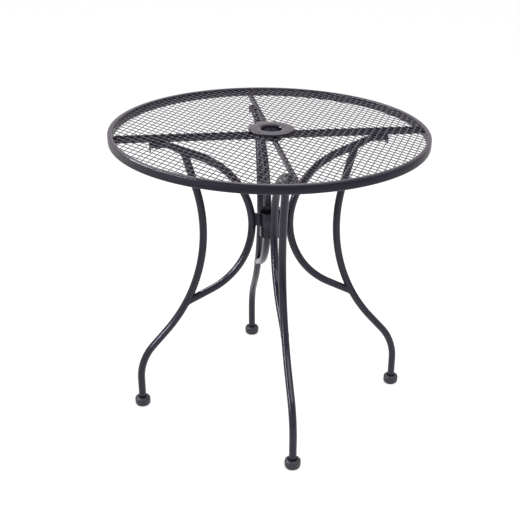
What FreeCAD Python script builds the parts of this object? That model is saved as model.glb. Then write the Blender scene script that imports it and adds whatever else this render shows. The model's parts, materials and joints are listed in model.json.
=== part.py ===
import FreeCAD, Part
import math
import os

# Round garden table with a wire mesh top, an umbrella hole, four bent legs and a pole collar between them.
# Sizes are in millimetres and angles in degrees. +Z is up.
# The origin is on the floor under the umbrella hole. The four legs stand along +X, +Y, -X and -Y.

# Round top
top_diameter = 762.0
top_height = 738.0
rim_width = 12.0
rim_depth = 21.0
rim_corner = 2.5

# Mesh of the top: two layers of flat strands that cross in diamonds
mesh_drop = 2.0
mesh_short_way = 18.2
mesh_long_way = 29.2
mesh_turn = 6.3
strand_width = 2.4
strand_thickness = 1.2

# Flat arms under the mesh
arm_width = 10.0
arm_depth = 18.0

# Hub round the umbrella hole
pole_hole_radius = 25.0
hub_wall = 2.0
hub_flange_radius = 55.0
hub_flange_lift = 3.0
hub_flange_sheet = 2.0
hub_flange_edge = 1.5
hub_flange_curl = 1.6
hub_mouth = 3.0
hub_flange_gap = 0.4

# Leg tubes
leg_count = 4
tube_radius = 9.5
weld_gap = 0.05
foot_radius = 341.0
leg_waist_radius = 168.0
leg_waist_height = 489.0
leg_waist_bend = 420.0
leg_top_lean = 15.5
leg_splay_run = 51.70317
leg_foot_bend = 147.0

# Braces that curve in from the arms to the collar and out again to the legs
brace_waist_radius = 47.5
brace_bend = 192.0
brace_top_slope = 22.0
brace_foot_slope = 27.0
flat_thickness = 10.0
flat_start = 252.0
flat_end = 283.5
flattening_length = 32.0
flattening_rise = 11.9

# Brackets and bolts under the arms
bracket_sheet = 2.5
bracket_width = 25.0
bracket_start = 250.0
bracket_drop = 20.0
bracket_corner = 4.0
bracket_end_clearance = 1.5
bolt_radius = 3.0
bolt_hole_clearance = 0.2
bolt_thread_clearance = 0.05
bolt_from_flat_end = 15.0
bolt_grip_in_arm = 8.0
bolt_hole_spare = 1.5
bolt_head_flats = 10.0
bolt_head_height = 4.0

# Collar ring between the braces, and the lugs that join it to them
collar_ring_radius = 29.0
collar_ring_wall = 1.5
collar_ring_top_above_waist = 32.5
collar_ring_height = 34.5
lug_width = 10.0
lug_height = 38.0
lug_top_below_ring = 0.0
lug_scoop_radius = 4.2

# Pole sleeve that hangs in the collar ring
sleeve_clearance = 0.2
sleeve_wall = 3.3
sleeve_lip_radius = 32.3
sleeve_lip_height = 2.5
sleeve_lip_edge = 1.0
sleeve_below_ring = 30.0

# Clamp screw in the sleeve, set beside the plane of the front leg
clamp_beside_leg = 6.0
clamp_below_ring = 17.0
clamp_boss_radius = 7.5
clamp_boss_rise = 0.8
clamp_stud_radius = 2.95
clamp_running_clearance = 0.05
clamp_travel = 3.0
clamp_knob_gap = 0.3
clamp_knob_radius = 8.3
clamp_knob_thickness = 5.0
clamp_knob_chamfer = 1.0
clamp_stud_in_knob = 3.0
clamp_tip_setback = 0.1

# Foot glides
glide_radius = 19.8
glide_height = 24.0
glide_base_radius = 17.0
glide_base_edge = 3.0
glide_shoulder = 5.0
glide_step_height = 9.0
glide_socket_floor = 8.0
glide_socket_clearance = 0.1

# Values that follow from the ones above
rim_outer_radius = top_diameter / 2
rim_inner_radius = rim_outer_radius - rim_width
leg_bends = leg_waist_bend + leg_foot_bend
leg_reach = foot_radius - leg_waist_radius
leg_splay_sine = (leg_reach - leg_bends) / math.hypot(leg_bends, leg_splay_run)
leg_splay = math.degrees(math.asin(leg_splay_sine) + math.atan2(leg_bends, leg_splay_run))
mesh_top = top_height - mesh_drop
arm_top = mesh_top - 2 * strand_thickness
arm_bottom = arm_top - arm_depth
hub_outer_radius = pole_hole_radius + hub_wall
flat_width = math.pi * tube_radius - math.pi * flat_thickness / 2 + flat_thickness
flat_height = arm_bottom - bracket_sheet - flat_thickness / 2
flat_bottom = flat_height - flat_thickness / 2
bolt_distance = flat_end - bolt_from_flat_end
sleeve_outer_radius = collar_ring_radius - collar_ring_wall - sleeve_clearance
sleeve_bore_radius = sleeve_outer_radius - sleeve_wall
brace_round_end = flat_start - flattening_length
brace_bend_reach = brace_bend * (1 - math.sin(math.radians(brace_top_slope)))
brace_upper_reach = brace_round_end - brace_waist_radius - brace_bend_reach
brace_upper_rise = brace_upper_reach * math.tan(math.radians(brace_top_slope))
brace_bend_rise = brace_bend * math.cos(math.radians(brace_top_slope))
brace_waist_height = flat_height - flattening_rise - brace_upper_rise - brace_bend_rise
collar_ring_top = brace_waist_height + collar_ring_top_above_waist
collar_ring_bottom = collar_ring_top - collar_ring_height
sleeve_bottom = collar_ring_bottom - sleeve_below_ring
sleeve_top = collar_ring_top + sleeve_lip_height
clamp_height = collar_ring_bottom - clamp_below_ring
clamp_angle = -90.0 - clamp_beside_leg
clamp_boss_face = sleeve_outer_radius + clamp_boss_rise
clamp_bore_radius = clamp_stud_radius + clamp_running_clearance
clamp_tip = sleeve_bore_radius + clamp_tip_setback
clamp_knob_face = clamp_boss_face + clamp_knob_gap + clamp_travel

ORIGIN = FreeCAD.Vector(0, 0, 0)
UP = FreeCAD.Vector(0, 0, 1)
OUT = FreeCAD.Vector(1, 0, 0)
ACROSS = FreeCAD.Vector(0, 1, 0)


def cosine(angle):
    return math.cos(math.radians(angle))


def sine(angle):
    return math.sin(math.radians(angle))


def in_leg_plane(distance, height):
    """A point of the plane that a leg bends in: distance from the table's axis, and height."""
    return FreeCAD.Vector(distance, 0, height)


def heading_vector(heading):
    """Direction in the leg plane: 0 points away from the axis and 90 points up."""
    return FreeCAD.Vector(cosine(heading), 0, sine(heading))


def write(name, shape):
    shape.exportStep("parts/" + name + ".step")


def turned(shape, angle):
    copy = shape.copy()
    copy.rotate(ORIGIN, UP, angle)
    return copy


def leg_angle(index):
    return index * 360.0 / leg_count


def write_round_the_table(name, shape):
    """Write one node for each leg, numbered from the leg on +X."""
    for index in range(leg_count):
        write(name + "_" + str(index + 1), turned(shape, leg_angle(index)))


def group_round_the_table(name, shape):
    """Write like pieces, one for each leg, as separate solids of one node."""
    write(name, Part.makeCompound([turned(shape, leg_angle(index)) for index in range(leg_count)]))


def cylinder_along(start, direction, radius, length):
    return Part.makeCylinder(radius, length, start, direction)


def upright_cylinder(radius, bottom, top):
    return Part.makeCylinder(radius, top - bottom, FreeCAD.Vector(0, 0, bottom), UP)


def line(start, end):
    return Part.makeLine(start, end)


def corner_arc(centre, radius, start_angle):
    """Quarter circle in the leg plane that starts at start_angle and runs anticlockwise."""
    points = []
    for angle in (start_angle, start_angle + 45, start_angle + 90):
        points.append(centre + heading_vector(angle) * radius)
    return Part.Arc(points[0], points[1], points[2]).toShape()


def turned_profile(corners):
    """Solid of revolution about the table's axis from corners given as (distance, height)."""
    points = [in_leg_plane(distance, height) for distance, height in corners]
    return Part.Face(Part.makePolygon(points + points[:1])).revolve(ORIGIN, UP, 360)


class BentRod:
    """Round bar laid out like a bending programme: runs and bends, one after the other, in the leg plane."""

    def __init__(self, start, heading, radius):
        self.place = start
        self.heading = heading
        self.radius = radius
        self.pieces = []

    def run(self, length):
        direction = heading_vector(self.heading)
        self.pieces.append(cylinder_along(self.place, direction, self.radius, length))
        self.place = self.place + direction * length
        return self

    def bend(self, bend_radius, angle):
        """Bend towards the left of the heading for a positive angle, to the right for a negative one."""
        side = 1 if angle > 0 else -1
        centre = self.place + heading_vector(self.heading + 90 * side) * bend_radius
        outline = Part.makeCircle(self.radius, self.place, heading_vector(self.heading))
        self.pieces.append(Part.Face(Part.Wire(outline)).revolve(centre, ACROSS, -angle))
        self.heading += angle
        self.place = centre - heading_vector(self.heading + 90 * side) * bend_radius
        return self

    def solid(self):
        if len(self.pieces) == 1:
            return self.pieces[0]
        return self.pieces[0].multiFuse(self.pieces[1:]).removeSplitter().Solids[0]


# Geometry of the leg and of the brace, as places in the leg plane

def leg_bend_centre():
    return in_leg_plane(leg_waist_radius + leg_waist_bend, leg_waist_height)


def brace_bend_centre():
    return in_leg_plane(brace_waist_radius + brace_bend, brace_waist_height)


def brace_upper_tangent():
    """Place where the brace's bend ends and its upper run starts."""
    return brace_bend_centre() + heading_vector(90 + brace_top_slope) * brace_bend


def brace_lower_tangent():
    """Place where the brace's lower run ends and its bend starts."""
    return brace_bend_centre() - heading_vector(90 - brace_foot_slope) * brace_bend


def brace_upper_run():
    """Length of the brace's upper run, up to where its end is pressed flat."""
    return brace_upper_reach / cosine(brace_top_slope)


def leg_top_run():
    """Length of the leg's top run, from its large bend to the centre line of the brace."""
    start = leg_bend_centre() + heading_vector(180 - leg_top_lean) * leg_waist_bend
    rise = heading_vector(90 - leg_top_lean)
    slope = heading_vector(brace_top_slope)
    offset = brace_upper_tangent() - start
    return (offset.x * slope.z - offset.z * slope.x) / (rise.x * slope.z - rise.z * slope.x)


def leg_foot_run():
    """Length of the upright run that stands in the glide."""
    drop = leg_bends * sine(leg_splay) + leg_splay_run * cosine(leg_splay)
    return leg_waist_height - drop - glide_socket_floor


# Table top

def rim_ring():
    """Rectangular tube bent into a hoop, with eased corners."""
    bottom = top_height - rim_depth
    return turned_profile([
        (rim_inner_radius + rim_corner, bottom),
        (rim_outer_radius - rim_corner, bottom),
        (rim_outer_radius, bottom + rim_corner),
        (rim_outer_radius, top_height - rim_corner),
        (rim_outer_radius - rim_corner, top_height),
        (rim_inner_radius + rim_corner, top_height),
        (rim_inner_radius, top_height - rim_corner),
        (rim_inner_radius, bottom + rim_corner),
    ])


def mesh_layer(lean, top):
    """One layer of parallel strands that lean to one side of the mesh's long way, cut to the opening."""
    half_angle = math.degrees(math.atan2(mesh_short_way, mesh_long_way))
    spacing = mesh_long_way * sine(half_angle)
    heading = 90 + mesh_turn + lean * half_angle
    along = FreeCAD.Vector(cosine(heading), sine(heading), 0)
    aside = FreeCAD.Vector(-sine(heading), cosine(heading), 0)
    count = int((rim_inner_radius - strand_width) / spacing)
    strands = []
    for index in range(-count, count + 1):
        corner = along * -rim_outer_radius + aside * (index * spacing - strand_width / 2)
        corner = corner + FreeCAD.Vector(0, 0, top - strand_thickness)
        strand = Part.makeBox(top_diameter, strand_width, strand_thickness, ORIGIN, UP)
        strand.rotate(ORIGIN, UP, heading)
        strand.translate(corner)
        strands.append(strand)
    opening = upright_cylinder(rim_inner_radius, top - strand_thickness, top)
    opening = opening.cut(upright_cylinder(hub_outer_radius, top - strand_thickness, top))
    trimmed = []
    for strand in strands:
        trimmed.extend(strand.common(opening).Solids)
    return Part.makeCompound(trimmed)


def support_arm():
    """Flat bar on edge from the hub to the rim, coped to both, with a threaded hole for the leg bolt."""
    corner = FreeCAD.Vector(0, -arm_width / 2, arm_bottom)
    bar = Part.makeBox(rim_inner_radius, arm_width, arm_depth, corner)
    bar = bar.common(upright_cylinder(rim_inner_radius, arm_bottom, arm_top))
    bar = bar.cut(upright_cylinder(hub_outer_radius, arm_bottom, arm_top))
    hole_radius = bolt_radius + bolt_thread_clearance
    hole_depth = bolt_grip_in_arm + bolt_hole_spare
    return bar.cut(cylinder_along(in_leg_plane(bolt_distance, arm_bottom), UP, hole_radius, hole_depth))


def hub_sleeve():
    tube = upright_cylinder(hub_outer_radius, arm_bottom, top_height)
    return tube.cut(upright_cylinder(pole_hole_radius, arm_bottom, top_height))


def hub_flange():
    """Dished disc over the hub, with a countersunk mouth and an edge that curls down over the mesh."""
    top = top_height + hub_flange_lift
    under = top - hub_flange_sheet
    curl = hub_flange_radius - hub_flange_curl
    curl_bottom = mesh_top + hub_flange_gap
    return turned_profile([
        (pole_hole_radius, top_height),
        (hub_outer_radius, top_height),
        (hub_outer_radius, under),
        (curl, under),
        (curl, curl_bottom),
        (hub_flange_radius, curl_bottom),
        (hub_flange_radius, top - hub_flange_edge),
        (hub_flange_radius - hub_flange_edge, top),
        (pole_hole_radius + hub_mouth, top),
    ])


# Leg frames

def leg_lower_rod(radius):
    """The leg from the glide up to the end of its large bend."""
    rod = BentRod(in_leg_plane(foot_radius, glide_socket_floor), 90, radius)
    rod.run(leg_foot_run())
    rod.bend(leg_foot_bend, leg_splay)
    rod.run(leg_splay_run)
    rod.bend(leg_waist_bend, -leg_splay - leg_top_lean)
    return rod


def brace_upper_rod(radius):
    """The round part of the brace above its lower run."""
    rod = BentRod(brace_lower_tangent(), 180 - brace_foot_slope, radius)
    rod.bend(brace_bend, brace_foot_slope + brace_top_slope - 180)
    rod.run(brace_upper_run())
    return rod


def brace_rod(radius):
    """The round part of the brace, with a lower run that is long enough to pass the leg."""
    start = brace_lower_tangent() + heading_vector(-brace_foot_slope) * foot_radius
    rod = BentRod(start, 180 - brace_foot_slope, radius)
    rod.run(foot_radius)
    rod.pieces.append(brace_upper_rod(radius).solid())
    return rod.solid()


def nearest_the_axis(shape):
    """The solid of a cut shape that lies nearest the table's axis."""
    return min(shape.Solids, key=lambda solid: solid.CenterOfMass.x)


def largest(shape):
    return max(shape.Solids, key=lambda solid: solid.Volume)


def four_edge_section(centre, slope, half_line, top_radius, side_angle, half_thickness):
    """Closed wire of two side arcs joined by a top and a bottom edge, square to the slope."""
    across_axis = ACROSS
    up_axis = heading_vector(slope + 90)

    def place(aside, above):
        return centre + across_axis * aside + up_axis * above

    def on_side(side, angle):
        return place(side * (half_line + top_radius * cosine(angle)), top_radius * sine(angle))

    right = Part.Arc(on_side(1, -side_angle), on_side(1, 0), on_side(1, side_angle)).toShape()
    left = Part.Arc(on_side(-1, side_angle), on_side(-1, 0), on_side(-1, -side_angle)).toShape()
    if half_line > 0:
        top = line(on_side(1, side_angle), on_side(-1, side_angle))
        bottom = line(on_side(-1, -side_angle), on_side(1, -side_angle))
    else:
        top = Part.Arc(on_side(1, side_angle), place(0, half_thickness), on_side(-1, side_angle))
        bottom = Part.Arc(on_side(-1, -side_angle), place(0, -half_thickness), on_side(1, -side_angle))
        top = top.toShape()
        bottom = bottom.toShape()
    return Part.Wire([right, top, left, bottom])


def brace_flat_end():
    """End of the brace: the round tube pressed flat, with the hole for the bolt."""
    round_end = in_leg_plane(brace_round_end, flat_height - flattening_rise)
    half_thickness = flat_thickness / 2
    half_line = (flat_width - flat_thickness) / 2
    corner_angle = math.degrees(math.atan2(half_thickness, half_line))
    round_section = four_edge_section(round_end, brace_top_slope, 0, tube_radius, corner_angle, tube_radius)
    flat_section = four_edge_section(
        in_leg_plane(flat_start, flat_height), 0, half_line, half_thickness, 90, half_thickness)
    pressed = Part.makeLoft([round_section, flat_section], True, True)
    flat = Part.Face(flat_section).extrude(OUT * (flat_end - flat_start))
    hole_radius = bolt_radius + bolt_hole_clearance
    hole = cylinder_along(in_leg_plane(bolt_distance, flat_bottom), UP, hole_radius, flat_thickness)
    return pressed.fuse(flat.cut(hole))


def s_leg():
    """Leg with its top end coped to the brace."""
    leg = leg_lower_rod(tube_radius).run(leg_top_run()).solid()
    return largest(leg.cut(brace_upper_rod(tube_radius + weld_gap).solid()))


def c_brace():
    """Brace with its lower end coped to the leg and its upper end pressed flat."""
    brace = nearest_the_axis(brace_rod(tube_radius).cut(leg_lower_rod(tube_radius + weld_gap).solid()))
    return brace.fuse(brace_flat_end()).removeSplitter().Solids[0]


def leg_bracket():
    """Sheet bracket under an arm, folded down past the flattened end of the brace."""
    fold = flat_end + bracket_end_clearance
    outer = fold + bracket_sheet
    under = arm_bottom - bracket_sheet
    bottom = arm_bottom - bracket_drop
    profile = Part.Wire([
        line(in_leg_plane(bracket_start, arm_bottom), in_leg_plane(outer - bracket_corner, arm_bottom)),
        corner_arc(in_leg_plane(outer - bracket_corner, arm_bottom - bracket_corner), bracket_corner, 0),
        line(in_leg_plane(outer, arm_bottom - bracket_corner), in_leg_plane(outer, bottom)),
        line(in_leg_plane(outer, bottom), in_leg_plane(fold, bottom)),
        line(in_leg_plane(fold, bottom), in_leg_plane(fold, under)),
        line(in_leg_plane(fold, under), in_leg_plane(bracket_start, under)),
        line(in_leg_plane(bracket_start, under), in_leg_plane(bracket_start, arm_bottom)),
    ])
    sheet = Part.Face(profile).extrude(ACROSS * bracket_width)
    sheet.translate(ACROSS * (-bracket_width / 2))
    hole_radius = bolt_radius + bolt_hole_clearance
    return sheet.cut(cylinder_along(in_leg_plane(bolt_distance, under), UP, hole_radius, bracket_sheet))


def bracket_bolt():
    """Hexagon bolt that goes up through the flattened end and the bracket into the arm."""
    corner_radius = bolt_head_flats / 2 / cosine(30)
    corners = []
    for index in range(7):
        offset = FreeCAD.Vector(cosine(60 * index), sine(60 * index), 0) * corner_radius
        corners.append(in_leg_plane(bolt_distance, flat_bottom - bolt_head_height) + offset)
    head = Part.Face(Part.makePolygon(corners)).extrude(UP * bolt_head_height)
    shank_length = arm_bottom + bolt_grip_in_arm - flat_bottom
    shank = cylinder_along(in_leg_plane(bolt_distance, flat_bottom), UP, bolt_radius, shank_length)
    return head.fuse(shank).removeSplitter().Solids[0]


def foot_glide():
    """Moulded cap with a tapered foot, a round shoulder and a socket for the leg tube."""
    shoulder = glide_radius - glide_shoulder
    corners = [
        (0, 0),
        (glide_base_radius - glide_base_edge, 0),
        (glide_base_radius, glide_base_edge),
        (glide_radius, glide_step_height),
    ]
    for angle in (0, 45, 90):
        distance = shoulder + glide_shoulder * cosine(angle)
        corners.append((distance, glide_height - glide_shoulder * (1 - sine(angle))))
    corners.append((0, glide_height))
    cap = turned_profile(corners)
    cap = cap.cut(upright_cylinder(tube_radius + glide_socket_clearance, glide_socket_floor, glide_height))
    cap.translate(OUT * foot_radius)
    return cap


# Collar, sleeve and clamp screw

def collar_ring():
    inner_radius = collar_ring_radius - collar_ring_wall
    ring = upright_cylinder(collar_ring_radius, collar_ring_bottom, collar_ring_top)
    return ring.cut(upright_cylinder(inner_radius, collar_ring_bottom, collar_ring_top))


def collar_lug():
    """Block welded between the collar ring and a brace, scooped out at its top and bottom."""
    top = collar_ring_top - lug_top_below_ring
    bottom = top - lug_height
    corner = FreeCAD.Vector(0, -lug_width / 2, bottom)
    block = Part.makeBox(brace_waist_radius, lug_width, lug_height, corner)
    block = block.cut(upright_cylinder(collar_ring_radius + weld_gap, bottom, top))
    block = block.cut(brace_upper_rod(tube_radius + weld_gap).solid())
    middle = (collar_ring_radius + brace_waist_radius - tube_radius) / 2
    for height in (bottom, top):
        scoop_start = FreeCAD.Vector(middle, -lug_width / 2, height)
        block = block.cut(cylinder_along(scoop_start, ACROSS, lug_scoop_radius, lug_width))
    return nearest_the_axis(block)


def clamp_cylinder(radius, start, end):
    """Cylinder along the clamp screw's axis, between two distances from the table's axis."""
    direction = FreeCAD.Vector(cosine(clamp_angle), sine(clamp_angle), 0)
    place = direction * start + FreeCAD.Vector(0, 0, clamp_height)
    return cylinder_along(place, direction, radius, end - start)


def pole_sleeve():
    """Moulded sleeve that hangs in the collar ring by its lip and takes the umbrella pole."""
    sleeve = turned_profile([
        (sleeve_bore_radius, sleeve_bottom),
        (sleeve_outer_radius, sleeve_bottom),
        (sleeve_outer_radius, collar_ring_top),
        (sleeve_lip_radius, collar_ring_top),
        (sleeve_lip_radius, sleeve_top - sleeve_lip_edge),
        (sleeve_lip_radius - sleeve_lip_edge, sleeve_top),
        (sleeve_bore_radius, sleeve_top),
    ])
    boss = clamp_cylinder(clamp_boss_radius, sleeve_bore_radius, clamp_boss_face)
    boss = boss.cut(upright_cylinder(sleeve_bore_radius, sleeve_bottom, sleeve_top))
    sleeve = sleeve.fuse(boss).removeSplitter().Solids[0]
    return sleeve.cut(clamp_cylinder(clamp_bore_radius, 0, clamp_boss_face))


def clamp_stud():
    return clamp_cylinder(clamp_stud_radius, clamp_tip, clamp_knob_face + clamp_stud_in_knob)


def clamp_knob():
    """Round thumb knob on the clamp stud."""
    outer_face = clamp_knob_face + clamp_knob_thickness
    knob = clamp_cylinder(clamp_knob_radius, clamp_knob_face, outer_face)
    rim = [edge for edge in knob.Edges if is_outer_edge(edge, outer_face)]
    knob = knob.makeChamfer(clamp_knob_chamfer, rim)
    return knob.cut(clamp_cylinder(clamp_bore_radius, clamp_knob_face, clamp_knob_face + clamp_stud_in_knob))


def is_outer_edge(edge, distance):
    """True for a round edge that lies at this distance from the table's axis."""
    if not isinstance(edge.Curve, Part.Circle):
        return False
    centre = edge.Curve.Center
    return math.hypot(centre.x, centre.y) > distance - clamp_knob_chamfer


def main():
    os.makedirs("parts", exist_ok=True)
    write("rim_ring", rim_ring())
    write("mesh_strands", mesh_layer(-1, mesh_top))
    write("mesh_cross_strands", mesh_layer(1, mesh_top - strand_thickness))
    write_round_the_table("support_arm", support_arm())
    write("hub_sleeve", hub_sleeve())
    write("hub_flange", hub_flange())
    group_round_the_table("leg_brackets", leg_bracket())
    write_round_the_table("s_leg", s_leg())
    write_round_the_table("c_brace", c_brace())
    group_round_the_table("foot_glides", foot_glide())
    group_round_the_table("bracket_bolts", bracket_bolt())
    write("collar_ring", collar_ring())
    group_round_the_table("collar_lugs", collar_lug())
    write("pole_sleeve", pole_sleeve())
    write("clamp_stud", clamp_stud())
    write("clamp_knob", clamp_knob())


main()
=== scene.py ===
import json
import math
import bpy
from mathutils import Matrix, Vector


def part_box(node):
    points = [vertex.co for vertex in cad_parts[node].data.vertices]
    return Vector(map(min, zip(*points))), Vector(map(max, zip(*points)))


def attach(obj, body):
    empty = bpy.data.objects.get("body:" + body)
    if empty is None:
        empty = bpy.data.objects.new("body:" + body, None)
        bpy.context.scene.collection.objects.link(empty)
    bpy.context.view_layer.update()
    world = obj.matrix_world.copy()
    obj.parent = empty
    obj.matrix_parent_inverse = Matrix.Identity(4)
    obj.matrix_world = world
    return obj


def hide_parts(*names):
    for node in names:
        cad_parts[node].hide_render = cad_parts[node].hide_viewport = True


bl_info = {
    "name": "Umbrella Table",
    "version": (1, 0, 0),
    "blender": (4, 5, 0),
    "location": "View3D > Sidebar > Umbrella Table",
    "description": "Builds the visible pieces of a round mesh patio table, and a plain stage",
    "category": "Object",
}

import bmesh
import bpy
from bpy.props import FloatProperty, FloatVectorProperty, IntProperty, PointerProperty
from mathutils import Matrix, Vector

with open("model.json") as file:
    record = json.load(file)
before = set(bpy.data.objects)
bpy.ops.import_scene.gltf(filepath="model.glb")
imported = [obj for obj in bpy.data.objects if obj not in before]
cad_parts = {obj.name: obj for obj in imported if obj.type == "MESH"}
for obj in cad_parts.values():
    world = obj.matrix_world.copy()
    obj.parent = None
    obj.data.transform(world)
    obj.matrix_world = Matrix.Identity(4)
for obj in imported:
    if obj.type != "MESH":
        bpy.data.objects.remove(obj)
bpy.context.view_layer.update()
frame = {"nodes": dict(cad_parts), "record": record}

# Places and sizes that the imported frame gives
RIM_LOW, RIM_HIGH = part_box("rim_ring")
MESH_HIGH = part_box("mesh_strands")[1]
CROSS_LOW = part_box("mesh_cross_strands")[0]
ARM_LOW, ARM_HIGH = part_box("support_arm_1")
SLEEVE_LOW, SLEEVE_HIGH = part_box("hub_sleeve")
DISC_LOW, DISC_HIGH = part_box("hub_flange")
BRACE_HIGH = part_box("c_brace_1")[1]
BRACKET_LOW, BRACKET_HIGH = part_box("leg_brackets")
BOLT_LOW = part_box("bracket_bolts")[0]
RING_LOW, RING_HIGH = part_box("collar_ring")
LUG_LOW, LUG_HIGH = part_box("collar_lugs")
POLE_LOW, POLE_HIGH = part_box("pole_sleeve")
GLIDE_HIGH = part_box("foot_glides")[1]
KNOB_LOW, KNOB_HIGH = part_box("clamp_knob")

MM = 0.001
LEGS = 4

# Spacing of the ripples round a tube, and how far they sink into it
BEAD_PITCH = 1.5 * MM
BEAD_SEAT = 0.4 * MM

# Places nearer to each other than this count as one
TIGHT = 1e-5

# Finishes, and the slot of the record that each one belongs to
PAINT = "Charcoal powder coat"
MESH_PAINT = "Mesh powder coat"
PLASTIC = "Moulded plastic"
GLIDE_PLASTIC = "Glide plastic"
STEEL = "Dark fastener steel"
SLOTS = {
    PAINT: "charcoal_paint",
    MESH_PAINT: "mesh_paint",
    PLASTIC: "black_plastic",
    GLIDE_PLASTIC: "black_plastic",
    STEEL: "dark_steel",
}


# Settings in the sidebar

def length_setting(name, description, millimetres):
    return FloatProperty(name=name, description=description, default=millimetres * MM,
                         unit="LENGTH", precision=4)


def angle_setting(name, description, degrees):
    return FloatProperty(name=name, description=description, default=math.radians(degrees), subtype="ANGLE")


def colour_setting(name, description, colour):
    return FloatVectorProperty(name=name, description=description, default=colour,
                               subtype="COLOR", min=0, max=1)


class TableSizes(bpy.types.PropertyGroup):
    """Sizes of the top, the tubes and the small pieces."""

    rim_width: length_setting("Rim width", "Width of the rim tube, seen from above", 12)
    rim_corner: length_setting("Rim corner", "Rounding of the rim tube's corners", 2.5)
    diamond_length: length_setting("Diamond length", "Long way of one mesh diamond, joint to joint", 29.2)
    diamond_width: length_setting("Diamond width", "Short way of one mesh diamond, joint to joint", 18.2)
    diamond_turn: angle_setting("Mesh turn", "Angle of the diamonds' short way from the first leg", 6.3)
    strand_width: length_setting("Strand width", "Width of one strand of the mesh", 2.0)
    strand_sheet: length_setting("Strand thickness", "Thickness of the sheet that the mesh is cut from", 1.2)
    strand_tilt: angle_setting("Strand tilt", "Lean that stretching the sheet gives each strand", -20)
    joint_length: length_setting("Joint length", "Length of the joint between four strands", 3.4)
    arm_width: length_setting("Arm width", "Thickness of a support arm, which stands on edge", 6.5)
    tube_radius: length_setting("Tube radius", "Outside radius of the leg and brace tubes", 9.5)
    tube_sides: IntProperty(
        name="Tube sides", description="Number of faces round a tube", default=40, min=12, max=96)
    foot_radius: length_setting("Foot distance", "Distance of a foot from the middle of the table", 341)
    leg_waist_radius: length_setting("Leg waist", "Distance from the middle to the leg's nearest place", 168)
    leg_waist_height: length_setting("Leg waist height", "Height of the leg's nearest place", 489)
    leg_waist_bend: length_setting("Leg bend", "Radius of the leg's large bend", 420)
    leg_foot_bend: length_setting("Foot bend", "Radius of the bend over the foot", 147)
    leg_splay: angle_setting("Leg splay", "Angle of the leg's lower run from upright", 41)
    leg_top_lean: angle_setting("Leg lean", "Angle of the leg's top run from upright", 15.5)
    brace_waist_radius: length_setting("Brace waist", "Distance from the middle to the brace", 47.5)
    brace_waist_height: length_setting("Brace waist height", "Height of the brace's nearest place", 497.0)
    brace_bend: length_setting("Brace bend", "Radius of the brace's bend", 192)
    brace_top_slope: angle_setting("Brace top slope", "Slope of the brace's upper run", 22)
    brace_foot_slope: angle_setting("Brace foot slope", "Slope of the brace's lower run", 27)
    flat_thickness: length_setting("Pressed thickness", "Thickness of the brace's pressed end", 10)
    flat_start: length_setting("Pressed end start", "Distance where the brace is fully pressed flat", 252)
    flattening_length: length_setting("Pressed end taper", "Length from the round tube to the flat end", 32)
    weld_bead: length_setting("Weld bead", "Radius of the weld beads under the paint", 1.6)
    lug_width: length_setting("Lug width", "Width of the lugs between the collar ring and the braces", 10)
    clamp_turn: angle_setting("Clamp direction", "Angle of the clamp screw from the first leg", -96)
    knob_face: length_setting("Knob distance", "Distance from the middle to the knob's inner face", 31.4)
    knob_radius: length_setting("Knob radius", "Outside radius of the clamp knob", 8.3)
    knob_thickness: length_setting("Knob thickness", "Thickness of the clamp knob", 5)
    stud_radius: length_setting("Stud radius", "Outside radius of the clamp stud's thread", 2.95)


class TableColours(bpy.types.PropertyGroup):
    """Colours of the finishes."""

    powder_coat: colour_setting("Powder coat", "Paint of the frame and the rim", (0.010, 0.010, 0.020))
    mesh_coat: colour_setting("Mesh coat", "Paint of the mesh", (0.012, 0.010, 0.017))
    plastic: colour_setting("Plastic", "Moulded sleeve and knob", (0.009, 0.009, 0.015))
    glide: colour_setting("Glide plastic", "Harder plastic of the foot glides", (0.036, 0.035, 0.041))
    steel: colour_setting("Fastener steel", "Dark coated bolts and stud", (0.10, 0.10, 0.11))
    dust: colour_setting("Dust", "Fine dust and rubbed paint", (0.20, 0.18, 0.19))


class StageSettings(bpy.types.PropertyGroup):
    """Floor, lamps and room."""

    floor_colour: colour_setting("Floor", "Colour of the floor", (0.80, 0.80, 0.80))
    floor_glow: FloatProperty(
        name="Floor white", description="Whiteness that the camera and reflections see in the floor",
        default=0.62)
    lamp_power: FloatProperty(
        name="Lamp power", description="Power that each lamp takes its share of", default=9.0, unit="POWER")
    room_tint: colour_setting("Room tint", "Colour that reflections see in the room", (1.0, 0.91, 0.97))
    sky_level: FloatProperty(
        name="Room light", description="Brightness of the light that comes from all round", default=0.45)


# Modelling: a finished piece has its place in its mesh

def clear_choice():
    if bpy.context.mode != "OBJECT":
        bpy.ops.object.mode_set(mode="OBJECT")
    bpy.ops.object.select_all(action="DESELECT")


def open_piece(name):
    """Name the primitive that was just added, put its place in its mesh and open it for editing."""
    piece = bpy.context.object
    piece.name = name
    piece.data.name = name
    bpy.ops.object.transform_apply(location=True, rotation=True, scale=True)
    bpy.ops.object.mode_set(mode="EDIT")
    bpy.ops.mesh.select_mode(type="VERT")
    choose_all()
    return piece


def close_piece(piece, smooth=35):
    """Leave edit mode and shade the piece."""
    bpy.ops.object.mode_set(mode="OBJECT")
    return shade(piece, smooth)


def shade(piece, smooth=35):
    """Shade the piece smooth, except over edges sharper than this angle."""
    use_only(piece)
    bpy.ops.object.shade_smooth_by_angle(angle=math.radians(smooth))
    return piece


def use_only(piece):
    clear_choice()
    piece.select_set(True)
    bpy.context.view_layer.objects.active = piece


def choose_all():
    bpy.ops.mesh.select_all(action="SELECT")


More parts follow.
